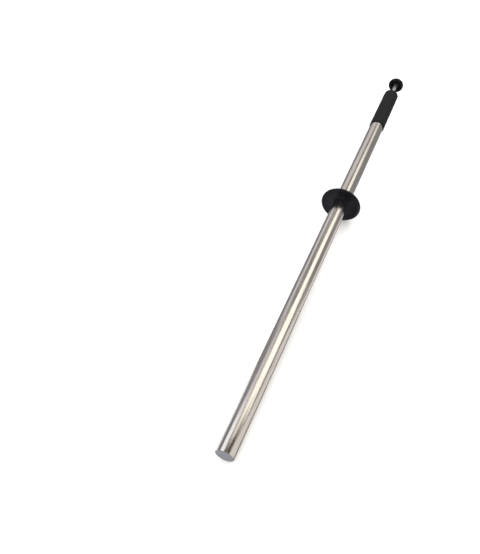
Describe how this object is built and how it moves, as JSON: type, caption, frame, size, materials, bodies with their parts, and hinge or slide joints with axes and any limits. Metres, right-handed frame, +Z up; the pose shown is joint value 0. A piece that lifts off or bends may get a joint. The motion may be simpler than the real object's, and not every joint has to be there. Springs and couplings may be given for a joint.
{
  "type": "magnetic pick-up wand",
  "caption": "Long steel tube with a sliding magnet bar inside, a stripper disc at mid-length, a rubber grip and a pull knob that draws the magnet back so collected metal drops off.",
  "frame": {"origin": "centre of the tip's flat end face", "axes": "+X along the wand from the tip to the pull knob, +Z up with the wand lying on its side, +Y completes the right-handed frame"},
  "size_m": [0.88, 0.067, 0.067],
  "materials": {
    "polished_tube": "polished stainless steel with fine brushing along the tube",
    "plug_steel": "satin stainless steel, turned face",
    "disc_plastic": "glossy black moulded plastic",
    "knob_plastic": "glossy black moulded plastic",
    "grip_rubber": "matte black rubber, finely textured",
    "stop_rubber": "plain black rubber",
    "rod_steel": "satin ground steel rod",
    "nylon": "natural nylon",
    "black_nylon": "black nylon",
    "insert_brass": "turned brass",
    "coupling_aluminium": "turned aluminium",
    "pole_steel": "mild steel",
    "magnet_nickel": "nickel-plated magnet",
    "black_screw": "blackened steel",
    "zinc_screw": "zinc-plated steel"
  },
  "bodies": {
    "wand_tube": {"outer_tube": "polished_tube", "end_plug": "plug_steel", "tip_buffer": "stop_rubber", "stripper_disc": "disc_plastic", "disc_grub_screws": "black_screw", "grip_sleeve": "grip_rubber", "guide_bush": "black_nylon", "bush_screws": "zinc_screw", "rod_o_ring": "stop_rubber", "top_buffer": "stop_rubber"},
    "magnet_puller": {"pull_rod": "rod_steel", "knob": "knob_plastic", "knob_insert": "insert_brass", "top_coupling": "coupling_aluminium", "coupling_pin": "zinc_screw", "coupling_guide_ring": "nylon", "tie_rod": "insert_brass", "foot_shoe": "nylon", "foot_washer": "zinc_screw", "foot_nut": "insert_brass", "pole_piece_01": "pole_steel", "pole_piece_02": "pole_steel", "pole_piece_03": "pole_steel", "pole_piece_04": "pole_steel", "pole_piece_05": "pole_steel", "pole_piece_06": "pole_steel", "pole_piece_07": "pole_steel", "pole_piece_08": "pole_steel", "pole_piece_09": "pole_steel", "pole_piece_10": "pole_steel", "pole_piece_11": "pole_steel", "ring_magnet_01": "magnet_nickel", "ring_magnet_02": "magnet_nickel", "ring_magnet_03": "magnet_nickel", "ring_magnet_04": "magnet_nickel", "ring_magnet_05": "magnet_nickel", "ring_magnet_06": "magnet_nickel", "ring_magnet_07": "magnet_nickel", "ring_magnet_08": "magnet_nickel", "ring_magnet_09": "magnet_nickel", "ring_magnet_10": "magnet_nickel"}
  },
  "joints": [
    {"name": "knob_pull", "type": "slide", "parent": "wand_tube", "child": "magnet_puller", "axis": [1, 0, 0], "range_m": [0, 0.48]}
  ]
}
